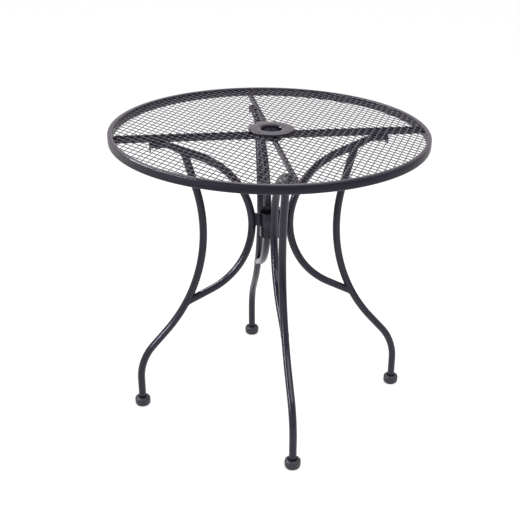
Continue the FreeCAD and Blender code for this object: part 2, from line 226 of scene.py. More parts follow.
def choose(kind, test):
    """Select the corners, edges or faces of the open piece whose middle passes the test."""
    mesh = bmesh.from_edit_mesh(bpy.context.object.data)
    bpy.ops.mesh.select_mode(type=kind)
    bpy.ops.mesh.select_all(action="DESELECT")
    for part in {"VERT": mesh.verts, "EDGE": mesh.edges, "FACE": mesh.faces}[kind]:
        corners = [part] if kind == "VERT" else part.verts
        middle = sum((corner.co for corner in corners), Vector()) / len(corners)
        part.select_set(bool(test(middle)))
    mesh.select_flush_mode()
    bmesh.update_edit_mesh(bpy.context.object.data)


def bevel_edges(width, rounds, **facts):
    bpy.ops.mesh.bevel(offset=width, segments=rounds, affect="EDGES", **facts)


def extrude_by(move):
    bpy.ops.mesh.extrude_region_move(TRANSFORM_OT_translate={"value": tuple(move)})


def tidy_surface():
    choose_all()
    bpy.ops.mesh.remove_doubles(threshold=TIGHT)
    bpy.ops.mesh.normals_make_consistent(inside=False)


def apply_modifier(piece, kind, **values):
    use_only(piece)
    modifier = piece.modifiers.new(kind.title(), kind)
    for key, value in values.items():
        setattr(modifier, key, value)
    bpy.ops.object.modifier_apply(modifier=modifier.name)


def soften(piece, width, rounds, angle=50):
    """Round the edges that are sharper than this angle."""
    apply_modifier(piece, "BEVEL", width=width, segments=rounds, limit_method="ANGLE",
                   angle_limit=math.radians(angle))
    return shade(piece)


def turned_copy(piece, name, angle, move=(0, 0, 0)):
    """Copy of a piece with its own mesh, turned about the upright axis and then moved."""
    copy = piece.copy()
    copy.data = piece.data.copy()
    copy.name = name
    copy.data.name = name
    bpy.context.scene.collection.objects.link(copy)
    copy.data.transform(Matrix.Translation(move) @ Matrix.Rotation(angle, 4, "Z"))
    return copy


def round_the_table(piece, name):
    """The piece and its copies at the other legs, numbered from the first leg."""
    piece.name = name + "_1"
    piece.data.name = piece.name
    pieces = [piece]
    for index in range(1, LEGS):
        pieces.append(turned_copy(piece, f"{name}_{index + 1}", index * math.tau / LEGS))
    return pieces


def join_pieces(pieces, name):
    clear_choice()
    for piece in pieces:
        piece.select_set(True)
    bpy.context.view_layer.objects.active = pieces[0]
    bpy.ops.object.join()
    pieces[0].name = name
    pieces[0].data.name = name
    return pieces[0]


def finish_piece(piece, coat, *nodes, body="table"):
    """Give the piece its finish, its body and the nodes that it stands for."""
    piece.data.materials.clear()
    piece.data.materials.append(finish(coat))
    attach(piece, body)
    if nodes:
        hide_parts(*nodes)


def finish_four(piece, name, node):
    """Copy a painted piece to the other legs; each copy stands for the node at its own leg."""
    for index, copy in enumerate(round_the_table(piece, name)):
        finish_piece(copy, PAINT, f"{node}_{index + 1}")


def finish_set(piece, name, joined, coat, node):
    """Copy a piece to the other legs, and join the four as one piece that stands for the node."""
    finish_piece(join_pieces(round_the_table(piece, name), joined), coat, node)


def lathe(name, corners, centre=(0, 0, 0), steps=96, rounds=4, smooth=35):
    """Turned piece. Each corner is (distance, height, rounding), and the outline closes on itself."""
    clear_choice()
    places = [Vector((distance, 0, height)) + Vector(centre) for distance, height, rounding in corners]
    bpy.ops.mesh.primitive_plane_add(size=MM, location=places[0])
    piece = open_piece(name)
    bpy.ops.mesh.merge(type="CENTER")
    for here, there in zip(places, places[1:]):
        extrude_by(there - here)
    choose_all()
    bpy.ops.mesh.edge_face_add()
    for place, (distance, height, rounding) in zip(places, corners):
        if rounding > 0:
            choose("VERT", lambda middle: (middle - place).length < TIGHT)
            bpy.ops.mesh.bevel(offset=rounding, segments=rounds, affect="VERTICES")
    choose_all()
    bpy.ops.mesh.delete(type="ONLY_FACE")
    choose("EDGE", lambda middle: math.hypot(middle.x - centre[0], middle.y - centre[1]) < TIGHT)
    bpy.ops.mesh.delete(type="EDGE")
    choose_all()
    bpy.ops.mesh.spin(steps=steps, angle=math.tau, center=centre, axis=(0, 0, 1))
    tidy_surface()
    return close_piece(piece, smooth)


def hoop(name, inner, outer, low, high, roundings, **facts):
    """Turned piece with a four-sided section. Its roundings start at the low inner corner."""
    corners = ((inner, low), (outer, low), (outer, high), (inner, high))
    return lathe(name, [(*corner, rounding) for corner, rounding in zip(corners, roundings)], **facts)


def open_box(name, low, high):
    """Box between two corners, open for editing."""
    clear_choice()
    bpy.ops.mesh.primitive_cube_add(size=1, location=(low + high) / 2, scale=high - low)
    return open_piece(name)


def point_along_clamp(piece, sizes):
    """Turn a piece made on the upright axis onto the clamp screw's axis."""
    direction = Vector((math.cos(sizes.clamp_turn), math.sin(sizes.clamp_turn), 0))
    height = (KNOB_LOW.z + KNOB_HIGH.z) / 2
    turn = Vector((0, 0, 1)).rotation_difference(direction).to_matrix().to_4x4()
    piece.data.transform(Matrix.Translation((0, 0, height)) @ turn)


# Bent tubes, drawn ring by ring in the plane of the first leg

def leg_plane(distance, height):
    return Vector((distance, 0, height))


def heading_vector(heading):
    return Vector((math.cos(heading), 0, math.sin(heading)))


class BentTube:
    """Round tube that grows from its first ring by straight runs and bends."""

    def __init__(self, name, place, heading, radius, sides):
        self.place = place
        self.heading = heading
        clear_choice()
        bpy.ops.mesh.primitive_circle_add(
            vertices=sides, radius=radius, fill_type="NGON", location=place,
            rotation=(0, math.pi / 2 - heading, 0))
        self.piece = open_piece(name)

    def run(self, length):
        move = heading_vector(self.heading) * length
        extrude_by(move)
        self.place = self.place + move

    def bend(self, bend_radius, angle, steps):
        """Bend to the left of the heading for a positive angle, and to the right for a negative one."""
        side = math.copysign(math.pi / 2, angle)
        centre = self.place + heading_vector(self.heading + side) * bend_radius
        bpy.ops.mesh.spin(steps=steps, angle=angle, center=centre, axis=(0, 1, 0), use_auto_merge=False)
        self.heading += angle
        self.place = centre - heading_vector(self.heading + side) * bend_radius

    def close(self):
        tidy_surface()
        return close_piece(self.piece)


def crossing(place, direction, other, other_direction):
    """How far along the first line of the leg plane it meets the second."""
    offset = other - place
    turn = direction.x * other_direction.z - direction.z * other_direction.x
    return (offset.x * other_direction.z - offset.z * other_direction.x) / turn


def leg_facts(sizes):
    """Length of the leg's splayed run, height of its foot bend, and where its large bend turns."""
    bends = sizes.leg_waist_bend + sizes.leg_foot_bend
    splay = sizes.leg_splay
    reach = bends * (1 - math.cos(splay))
    splay_run = (sizes.foot_radius - sizes.leg_waist_radius - reach) / math.sin(splay)
    drop = bends * math.sin(splay) + splay_run * math.cos(splay)
    bend_centre = leg_plane(sizes.leg_waist_radius + sizes.leg_waist_bend, sizes.leg_waist_height)
    return splay_run, sizes.leg_waist_height - drop, bend_centre


def brace_facts(sizes):
    """Where the brace's bend turns, and where its upper and lower runs meet it."""
    centre = leg_plane(sizes.brace_waist_radius + sizes.brace_bend, sizes.brace_waist_height)
    upper = centre + heading_vector(math.pi / 2 + sizes.brace_top_slope) * sizes.brace_bend
    lower = centre - heading_vector(math.pi / 2 - sizes.brace_foot_slope) * sizes.brace_bend
    return centre, upper, lower


def reach_ring(start, direction, centre, radius):
    """How far the line from start runs until it meets the ring round the centre."""
    offset = start - centre
    along = offset.dot(direction)
    return -along - math.sqrt(along ** 2 - offset.length_squared + radius ** 2)


def brace_meets_leg(sizes):
    """Length of the brace's lower run, from its bend to the middle of the leg."""
    direction = heading_vector(-sizes.brace_foot_slope)
    return reach_ring(brace_facts(sizes)[2], direction, leg_facts(sizes)[2], sizes.leg_waist_bend)


def meeting_loop(sizes, base, direction, reach):
    """Places of the weld ripples round a tube's end where it meets another tube.

    reach(start, rise) says how far the tube's line from start runs to a surface that stands rise
    above the other tube's middle line.
    """
    radius = sizes.tube_radius - BEAD_SEAT
    side = Vector((-direction.z, 0, direction.x))
    places = []
    steps = 720
    for index in range(steps):
        turn = index * math.tau / steps
        start = base + side * radius * math.cos(turn)
        run = reach(start, radius * abs(math.cos(turn)))
        place = start + direction * run + Vector((0, radius * math.sin(turn), 0))
        if not places or (place - places[-1]).length >= BEAD_PITCH:
            places.append(place)
    return places


# Finishes

def node_group(name, inputs, outputs):
    """New shader group with named inputs (name, kind, default) and outputs (name, kind)."""
    group = bpy.data.node_groups.new(name, "ShaderNodeTree")
    for label, kind, default in inputs:
        socket = group.interface.new_socket(name=label, in_out="INPUT", socket_type=kind)
        socket.default_value = default
    for label, kind in outputs:
        group.interface.new_socket(name=label, in_out="OUTPUT", socket_type=kind)
    entry = group.nodes.new("NodeGroupInput")
    entry.name = "entry"
    group.nodes.new("NodeGroupOutput").name = "exit"
    return group


def feed(tree, value, place):
    """Link a socket to an input, or set the input to a plain value."""
    if isinstance(value, bpy.types.NodeSocket):
        tree.links.new(value, place)
    else:
        place.default_value = value


def feed_all(tree, node, values):
    for label, value in values.items():
        feed(tree, value, node.inputs[label])


def split_coordinate(tree, label):
    """X, Y and Z of one of the texture coordinates."""
    split = tree.nodes.new("ShaderNodeSeparateXYZ")
    tree.links.new(tree.nodes.new("ShaderNodeTexCoord").outputs[label], split.inputs[0])
    return split.outputs


def new_material(name):
    material = bpy.data.materials.new(name)
    material.use_nodes = True
    return material, material.node_tree, material.node_tree.nodes["Principled BSDF"]


def calculate(tree, operation, first, second=0.0, clamp=False):
    node = tree.nodes.new("ShaderNodeMath")
    node.operation = operation
    node.use_clamp = clamp
    for place, value in zip(node.inputs, (first, second)):
        feed(tree, value, place)
    return node.outputs[0]


def blend_colours(tree, share, first, second, kind="MIX"):
    node = tree.nodes.new("ShaderNodeMix")
    node.data_type = "RGBA"
    node.blend_type = kind
    colours = [socket for socket in node.inputs if socket.type == "RGBA"]
    for place, value in zip([node.inputs[0]] + colours, (share, first, second)):
        feed(tree, value, place)
    return [socket for socket in node.outputs if socket.type == "RGBA"][0]


def noise(tree, coordinate, scale, detail, roughness):
    node = tree.nodes.new("ShaderNodeTexNoise")
    feed_all(tree, node, {"Vector": coordinate, "Scale": scale, "Detail": detail, "Roughness": roughness})
    return node.outputs["Fac"]


def fit_range(tree, value, low, high, to_low, to_high):
    node = tree.nodes.new("ShaderNodeMapRange")
    for place, item in zip(node.inputs, (value, low, high, to_low, to_high)):
        feed(tree, item, place)
    return node.outputs[0]


def coat_group():
    """Paint skin: colour that drifts, dust where it lies, and the fine orange peel of baked powder."""
    group = node_group("Paint skin", [
        ("Colour", "NodeSocketColor", (0.04, 0.04, 0.05, 1)),
        ("Dust", "NodeSocketColor", (0.2, 0.2, 0.2, 1)),
        ("Dust share", "NodeSocketFloat", 0.1),
        ("Drift", "NodeSocketFloat", 0.2),
        ("Peel size", "NodeSocketFloat", 600.0),
        ("Peel depth", "NodeSocketFloat", 0.1),
        ("Roughness", "NodeSocketFloat", 0.4),
    ], [
        ("Colour", "NodeSocketColor"),
        ("Roughness", "NodeSocketFloat"),
        ("Normal", "NodeSocketVector"),
    ])
    entry = group.nodes["entry"].outputs
    leave = group.nodes["exit"].inputs
    place = group.nodes.new("ShaderNodeTexCoord").outputs["Object"]
    broad = noise(group, place, 9.0, 3.0, 0.6)
    streak = noise(group, place, 70.0, 4.0, 0.65)
    drift = calculate(group, "MULTIPLY", fit_range(group, broad, 0.3, 0.7, -1.0, 1.0), entry["Drift"])
    lightness = calculate(group, "ADD", drift, 1.0)
    tone = group.nodes.new("ShaderNodeCombineColor")
    for socket in tone.inputs:
        group.links.new(lightness, socket)
    colour = blend_colours(group, 1.0, entry["Colour"], tone.outputs[0], "MULTIPLY")
    upward = fit_range(group, split_coordinate(group, "Normal")["Z"], 0.55, 1.0, 0.0, 1.0)
    patch = fit_range(group, streak, 0.40, 0.72, 0.25, 1.0)
    dusty = calculate(group, "MULTIPLY", upward, patch)
    dusty = calculate(group, "MULTIPLY", dusty, entry["Dust share"], clamp=True)
    group.links.new(blend_colours(group, dusty, colour, entry["Dust"]), leave["Colour"])
    grain = noise(group, place, entry["Peel size"], 1.0, 0.4)
    rough = calculate(group, "ADD", entry["Roughness"], calculate(group, "MULTIPLY", dusty, 0.25))
    rough = calculate(group, "ADD", rough, fit_range(group, streak, 0.3, 0.7, -0.05, 0.05), clamp=True)
    group.links.new(rough, leave["Roughness"])
    bump = group.nodes.new("ShaderNodeBump")
    feed_all(group, bump, {"Strength": 1.0, "Distance": entry["Peel depth"], "Height": grain})
    group.links.new(bump.outputs["Normal"], leave["Normal"])
    return group


def painted(name, group, colour, dust, dust_share, roughness, drift=0.15, peel_size=900.0,
            peel_depth=0.000008, metallic=0.0, specular=0.5):
    """Material of one finish: the shared skin with this finish's own values."""
    tree, surface = new_material(name)[1:]
    skin = tree.nodes.new("ShaderNodeGroup")
    skin.node_tree = group
    feed_all(tree, skin, {
        "Colour": (*colour, 1), "Dust": (*dust, 1), "Dust share": dust_share, "Drift": drift,
        "Peel size": peel_size, "Peel depth": peel_depth, "Roughness": roughness,
    })
    feed_all(tree, surface, {
        "Base Color": skin.outputs["Colour"], "Roughness": skin.outputs["Roughness"],
        "Normal": skin.outputs["Normal"], "Metallic": metallic,
        "Specular IOR Level": specular, "Specular Tint": (0.84, 0.83, 1.0, 1),
    })


def finish(name):
    """Material by name; the finishes are made on first use."""
    if name not in bpy.data.materials:
        colours = bpy.context.scene.table_colours
        group = coat_group()
        dust = tuple(colours.dust)
        painted(PAINT, group, colours.powder_coat, dust, dust_share=0.08, roughness=0.17)
        painted(MESH_PAINT, group, colours.mesh_coat, dust, dust_share=0.06, roughness=0.22,
                specular=0.85)
        painted(PLASTIC, group, colours.plastic, dust, dust_share=0.05, drift=0.1,
                peel_size=1600.0, peel_depth=0.000005, roughness=0.24, specular=0.4)
        painted(GLIDE_PLASTIC, group, colours.glide, dust, dust_share=0.3,
                peel_size=1300.0, peel_depth=0.00001, roughness=0.42)
        painted(STEEL, group, colours.steel, dust, dust_share=0.0, drift=0.25,
                peel_size=700.0, peel_depth=0.000005, roughness=0.32, metallic=0.85)
    return bpy.data.materials[name]


# Operators: one for each piece or group of like pieces

class TABLE_OT_stage(bpy.types.Operator):
    """Set the camera, the pale floor and the lamps"""
    bl_idname = "table.stage"
    bl_label = "Stage"

    def execute(self, context):
        settings = context.scene.table_stage
        self.add_camera(context)
        self.add_floor(settings)
        self.add_lamps(settings)
        self.set_world(context, settings)
        context.scene.view_settings.view_transform = "Standard"
        return {"FINISHED"}

    def add_camera(self, context):
        """Camera fitted to the photo, with its focal length and the middle of its view in pixels."""
        pitch = 0.49173
        roll = 0.0402
        azimuth = 0.23833
        sensor = 36
        width = 520
        focal = 965.6987
        middle = Vector((334, 320))
        place = Vector((0.16690838, -2.23201786, 1.42671082))
        ahead = Vector((0, math.cos(pitch), -math.sin(pitch)))
        level_right = Vector((1, 0, 0))
        level_up = Vector((0, math.sin(pitch), math.cos(pitch)))
        right = level_right * math.cos(roll) + level_up * math.sin(roll)
        up = level_up * math.cos(roll) - level_right * math.sin(roll)
        turn = Matrix.Rotation(-azimuth, 4, "Z")
        axes = Matrix((right, up, -ahead)).transposed().to_4x4()
        camera = bpy.data.objects.new("photo_camera", bpy.data.cameras.new("photo_camera"))
        context.scene.collection.objects.link(camera)
        camera.matrix_world = turn @ Matrix.Translation(place) @ axes
        camera.data.sensor_width = sensor
        camera.data.lens = focal * sensor / width
        camera.data.shift_x = (width / 2 - middle.x) / width
        camera.data.shift_y = (middle.y - width / 2) / width
        camera.data.clip_end = 50
        context.scene.camera = camera

    def add_floor(self, settings):
        """Pale floor that keeps the table's shadow and shows white to the camera; in reflections it glows as
        a painted pool of light round the table and a painted lit strip on its left side.
        """
        clear_choice()
        below_feet = 0.4 * MM
        bpy.ops.mesh.primitive_plane_add(size=60, location=(0, 0, -below_feet))
        floor = bpy.context.object
        floor.name = "studio_floor"
        bpy.ops.object.transform_apply(location=True, rotation=True, scale=True)
        material, tree, surface = new_material("Studio floor")
        feed_all(tree, surface, {
            "Base Color": (*settings.floor_colour, 1), "Roughness": 0.9, "Specular IOR Level": 0.1,
        })
        path = tree.nodes.new("ShaderNodeLightPath").outputs
        place = split_coordinate(tree, "Object")
        # Painted light in the floor's glow, seen only in reflections: a bright strip on the left side and a
        # pool round the table
        painted_lit_side = fit_range(tree, place["X"], -2.4, -1.2, 0.8, 0.0)
        squares = [calculate(tree, "MULTIPLY", place[axis], place[axis]) for axis in "XY"]
        away = calculate(tree, "SQRT", calculate(tree, "ADD", *squares))
        painted_light_pool = fit_range(tree, away, 1.0, 1.9, 0.8, 0.0)
        painted_light = calculate(tree, "MAXIMUM", painted_light_pool, painted_lit_side)
        reflected_painted_light = calculate(tree, "MULTIPLY", path["Is Glossy Ray"], painted_light)
        seen = calculate(tree, "ADD", path["Is Camera Ray"], reflected_painted_light)
        seen = calculate(tree, "ADD", seen, path["Is Transmission Ray"])
        glow = tree.nodes.new("ShaderNodeEmission")
        tree.links.new(calculate(tree, "MULTIPLY", seen, settings.floor_glow), glow.inputs["Strength"])
        total = tree.nodes.new("ShaderNodeAddShader")
        tree.links.new(surface.outputs[0], total.inputs[0])
        tree.links.new(glow.outputs[0], total.inputs[1])
        tree.links.new(total.outputs[0], tree.nodes["Material Output"].inputs["Surface"])
        floor.data.materials.append(material)

    def add_lamps(self, settings):
        """Lamps by place, sides, way of the first side, share of the power, and colour."""
        for name, *facts in (
            ("left_strip", (-2.0, 0.1, 1.58), (4.2, 0.18), (0.33, 0.87, 0.37), 11, (1, 1, 1)),
            ("front_softbox", (0.8, -2.2, 2.3), (3.0, 0.9), (1, 0, 0), 3.2, (1.0, 0.90, 0.88)),
            ("right_softbox", (1.8, -0.6, 1.95), (1.2, 0.4), (0.4, 1, 0), 0.6, (1.0, 0.93, 0.90)),
            ("back_softbox", (-0.1, 2.2, 2.1), (1.8, 0.7), (1, 0, 0), 0.6, (1.0, 0.93, 0.97)),
            ("overhead_softbox", (0.2, 0.4, 2.8), (1.2, 1.0), (1, 0, 0), 0.6, (1, 1, 1)),
        ):
            self.add_lamp(name, settings.lamp_power, *facts)
        bpy.data.objects["left_strip"].visible_diffuse = False

    def add_lamp(self, name, power, place, size, long_way, share, colour):
        """Softbox that faces the middle of the table, with its first side along the given direction."""
        lamp = bpy.data.lights.new(name, "AREA")
        lamp.shape = "RECTANGLE"
        lamp.size, lamp.size_y = size
        lamp.energy = power * share
        lamp.color = colour
        holder = bpy.data.objects.new(name, lamp)
        bpy.context.scene.collection.objects.link(holder)
        aim = Vector((0, 0, 0.4))
        back = (Vector(place) - aim).normalized()
        up = back.cross(Vector(long_way)).normalized()
        turn = Matrix((up.cross(back), up, back)).transposed().to_4x4()
        holder.matrix_world = Matrix.Translation(place) @ turn

    def set_world(self, context, settings):
        """Room that is white to the camera, tinted in reflections and dimmer where these look up."""
        world = bpy.data.worlds.new("Studio room")
        context.scene.world = world
        world.use_nodes = True
        tree = world.node_tree
        path = tree.nodes.new("ShaderNodeLightPath").outputs
        seen = calculate(tree, "ADD", path["Is Camera Ray"], path["Is Glossy Ray"])
        seen = calculate(tree, "ADD", seen, path["Is Transmission Ray"], clamp=True)
        dimmed = fit_range(tree, split_coordinate(tree, "Generated")["Z"], 0.29, 0.36, 0.0, 0.4)
        dimmed = calculate(tree, "MULTIPLY", dimmed, path["Is Glossy Ray"])
        strength = fit_range(tree, seen, 0.0, 1.0, settings.sky_level, 1.0)
        strength = calculate(tree, "SUBTRACT", strength, dimmed)
        colour = blend_colours(tree, path["Is Glossy Ray"], (1, 1, 1, 1), (*settings.room_tint, 1))
        feed_all(tree, tree.nodes["Background"], {"Color": colour, "Strength": strength})


class TABLE_OT_rim(bpy.types.Operator):
    """Hoop of flat-sided tube with rounded corners round the top"""
    bl_idname = "table.rim"
    bl_label = "Rim"

    def execute(self, context):
        sizes = context.scene.table_sizes
        inner = RIM_HIGH.x - sizes.rim_width
        rim = hoop("rim_hoop", inner, RIM_HIGH.x, RIM_LOW.z, RIM_HIGH.z, [sizes.rim_corner] * 4, steps=240)
        finish_piece(rim, PAINT, "rim_ring")
        return {"FINISHED"}


class TABLE_OT_mesh(bpy.types.Operator):
    """Expanded metal sheet of the top, cut to the rim and the hub"""
    bl_idname = "table.mesh_sheet"
    bl_label = "Mesh"

    def execute(self, context):
        sizes = context.scene.table_sizes
        sheet = self.spread(self.make_link(sizes), sizes)
        self.cut_round(sizes)
        apply_modifier(sheet, "SOLIDIFY", thickness=sizes.strand_sheet, offset=0.0)
        shade(sheet, 30)
        finish_piece(sheet, MESH_PAINT, "mesh_strands", "mesh_cross_strands")
        return {"FINISHED"}

    def make_link(self, sizes):
        """One joint with the near halves of its four strands, as a thin surface at the middle."""
        across = sizes.strand_width * math.cos(sizes.strand_tilt)
        drop = sizes.strand_width * math.sin(sizes.strand_tilt)
        clear_choice()
        bpy.ops.mesh.primitive_grid_add(x_subdivisions=2, y_subdivisions=1, size=1)
        bpy.context.object.scale = (2 * across, sizes.joint_length, 1)
        link = open_piece("mesh_link")
        mesh = bmesh.from_edit_mesh(link.data)
        for corner in mesh.verts:
            corner.co.z = -corner.co.x / across * drop
        bmesh.update_edit_mesh(link.data)
        for aside in (-1, 1):
            for ahead in (-1, 1):
                choose("EDGE", lambda middle: (
                    middle.x * aside > across * 0.3 and middle.x * aside < across * 0.7
                    and abs(middle.y - ahead * sizes.joint_length / 2) < TIGHT))
                start = Vector((aside * across / 2, ahead * sizes.joint_length / 2, -aside * drop / 2))
                end = Vector((aside * sizes.diamond_width / 4, ahead * sizes.diamond_length / 4, 0))
                extrude_by(end - start)
        tidy_surface()
        return close_piece(link)

    def spread(self, link, sizes):
        """The link repeated over the whole top, turned to its angle and raised to its height."""
        wide = sizes.diamond_width
        long = sizes.diamond_length
        columns = int(2 * RIM_HIGH.x / wide) + 2
        rows = int(2 * RIM_HIGH.x / long) + 2
        links = [link, turned_copy(link, "mesh_link_between", 0)]
        for shift, copy in zip((0, 0.5), links):
            copy.data.transform(Matrix.Translation((
                (shift - columns // 2) * wide, (shift - rows // 2) * long, 0)))
            for count, step in ((columns, (wide, 0, 0)), (rows, (0, long, 0))):
                apply_modifier(copy, "ARRAY", count=count, use_relative_offset=False,
                               use_constant_offset=True, constant_offset_displace=step)
        sheet = join_pieces(links, "mesh_sheet")
        sheet.data.transform(Matrix.Rotation(sizes.diamond_turn, 4, "Z"))
        middle = (CROSS_LOW.z + MESH_HIGH.z) / 2
        sheet.data.transform(Matrix.Translation((0, 0, middle)))
        use_only(sheet)
        bpy.ops.object.mode_set(mode="EDIT")
        tidy_surface()
        return sheet

    def cut_round(self, sizes):
        """Cut the open sheet a little inside the rim's and the hub's skins, so that it ends in them."""
        outer = RIM_HIGH.x - sizes.rim_width + 1.2 * MM
        for away in self.ways_round(sides=144):
            choose_all()
            bpy.ops.mesh.bisect(plane_co=away * outer, plane_no=away, clear_outer=True)
        hub = SLEEVE_HIGH.x - 0.6 * MM
        near = hub + sizes.diamond_length
        ahead = hub * 0.4
        for away in self.ways_round(sides=28):
            choose("FACE", lambda middle: (
                math.hypot(middle.x, middle.y) < near and middle.dot(away) > ahead))
            bpy.ops.mesh.bisect(plane_co=away * hub, plane_no=away)
        choose("FACE", lambda middle: math.hypot(middle.x, middle.y) < hub)
        bpy.ops.mesh.delete(type="FACE")
        bpy.ops.object.mode_set(mode="OBJECT")

    def ways_round(self, sides):
        """Level directions, evenly spaced round the middle."""
        turns = [Matrix.Rotation(index * math.tau / sides, 3, "Z") for index in range(sides)]
        return [turn @ Vector((1, 0, 0)) for turn in turns]


class TABLE_OT_arms(bpy.types.Operator):
    """Four flat bars on edge that carry the mesh from the hub to the rim"""
    bl_idname = "table.arms"
    bl_label = "Support arms"

    def execute(self, context):
        half = context.scene.table_sizes.arm_width / 2
        low = Vector((ARM_LOW.x - 0.3 * MM, -half, ARM_LOW.z))
        high = Vector((ARM_HIGH.x + 0.5 * MM, half, ARM_HIGH.z))
        arm = open_box("arm_bar", low, high)
        bevel_edges(1.4 * MM, 3, clamp_overlap=True)
        finish_four(close_piece(arm), "arm_bar", "support_arm")
        return {"FINISHED"}


class TABLE_OT_hub(bpy.types.Operator):
    """Disc round the umbrella hole, and the tube under it"""
    bl_idname = "table.hub"
    bl_label = "Hub"

    def execute(self, context):
        sheet = 2 * MM
        bore = SLEEVE_HIGH.x - sheet
        outer = DISC_HIGH.x
        curl = outer - 1.6 * MM
        top = DISC_HIGH.z
        disc = lathe("hub_disc", [
            (bore, SLEEVE_HIGH.z, 0),
            (SLEEVE_HIGH.x, SLEEVE_HIGH.z, 0),
            (SLEEVE_HIGH.x, top - sheet, 0.8 * MM),
            (curl, top - sheet, 0.6 * MM),
            (curl, DISC_LOW.z, 0.5 * MM),
            (outer, DISC_LOW.z, 0.5 * MM),
            (outer, top, 1.8 * MM),
            (bore + 3 * MM, top, 2.2 * MM),
        ], steps=128, rounds=5)
        finish_piece(disc, PAINT, "hub_flange")
        lower_edge = 0.5 * MM
        tube = hoop("hub_tube", bore, SLEEVE_HIGH.x, SLEEVE_LOW.z, SLEEVE_HIGH.z,
                    (lower_edge, lower_edge, 0, 0), rounds=2)
        finish_piece(tube, PAINT, "hub_sleeve")
        return {"FINISHED"}


class TABLE_OT_legs(bpy.types.Operator):
    """Four bent tube legs"""
    bl_idname = "table.legs"
    bl_label = "Legs"

    def execute(self, context):
        sizes = context.scene.table_sizes
        socket_floor = 8 * MM
        splay_run, foot_run_top = leg_facts(sizes)[:2]
        tube = BentTube("leg_tube", leg_plane(sizes.foot_radius, socket_floor), math.pi / 2,
                        sizes.tube_radius, sizes.tube_sides)
        tube.run(foot_run_top - socket_floor)
        tube.bend(sizes.leg_foot_bend, sizes.leg_splay, steps=12)
        tube.run(splay_run)
        tube.bend(sizes.leg_waist_bend, -sizes.leg_splay - sizes.leg_top_lean, steps=30)
        upper = brace_facts(sizes)[1]
        tube.run(crossing(tube.place, heading_vector(tube.heading), upper,
                          heading_vector(sizes.brace_top_slope)))
        finish_four(tube.close(), "leg_tube", "s_leg")
        return {"FINISHED"}


class TABLE_OT_braces(bpy.types.Operator):
    """Four curved braces with their upper ends pressed flat"""
    bl_idname = "table.braces"
    bl_label = "Braces"

    def execute(self, context):
        sizes = context.scene.table_sizes
        lower = brace_facts(sizes)[2]
        slope = sizes.brace_foot_slope
        run = brace_meets_leg(sizes)
        start = lower + heading_vector(-slope) * run
        tube = BentTube("brace_tube", start, math.pi - slope, sizes.tube_radius, sizes.tube_sides)
        tube.run(run)
        tube.bend(sizes.brace_bend, slope + sizes.brace_top_slope - math.pi, steps=48)
        reach = sizes.flat_start - sizes.flattening_length - tube.place.x
        tube.run(reach / math.cos(sizes.brace_top_slope))
        self.press_end(tube, sizes)
        finish_four(tube.close(), "brace_tube", "c_brace")
        return {"FINISHED"}

    def press_end(self, tube, sizes):
        """Add the flat end as an outline of two half circles, and bridge the round tube to it."""
        round_end = tube.place.copy()
        bpy.ops.mesh.delete(type="ONLY_FACE")
        thickness = sizes.flat_thickness
        height = BRACE_HIGH.z - thickness / 2
        half_line = (math.pi * (sizes.tube_radius - thickness / 2)) / 2
        bpy.ops.mesh.select_all(action="DESELECT")
        bpy.ops.mesh.primitive_circle_add(
            vertices=sizes.tube_sides, radius=thickness / 2, fill_type="NOTHING",
            location=(sizes.flat_start, 0, height), rotation=(0, math.pi / 2, 0))
        for side in (-1, 1):
            choose("VERT", lambda middle: middle.x > sizes.flat_start - MM and middle.y * side > TIGHT
                   and abs(middle.y) <= thickness / 2 + TIGHT)
            bpy.ops.transform.translate(value=(0, side * half_line, 0))
        choose("VERT", lambda middle: middle.x > sizes.flat_start - MM)
        extrude_by((BRACE_HIGH.x - sizes.flat_start, 0, 0))
        choose("VERT", lambda middle: middle.x > BRACE_HIGH.x - MM)
        bpy.ops.mesh.edge_face_add()
        bpy.ops.mesh.select_mode(type="FACE")
        bevel_edges(1.2 * MM, 3)
        direction = heading_vector(sizes.brace_top_slope)
        nearby = round_end.x - 20 * MM

        def on_round_end(middle):
            return abs((middle - round_end).dot(direction)) < TIGHT and middle.x > nearby

        choose("EDGE", lambda middle: on_round_end(middle)
               or abs(middle.x - sizes.flat_start) < TIGHT)
        bpy.ops.mesh.bridge_edge_loops(number_cuts=9, interpolation="SURFACE", smoothness=0.9)


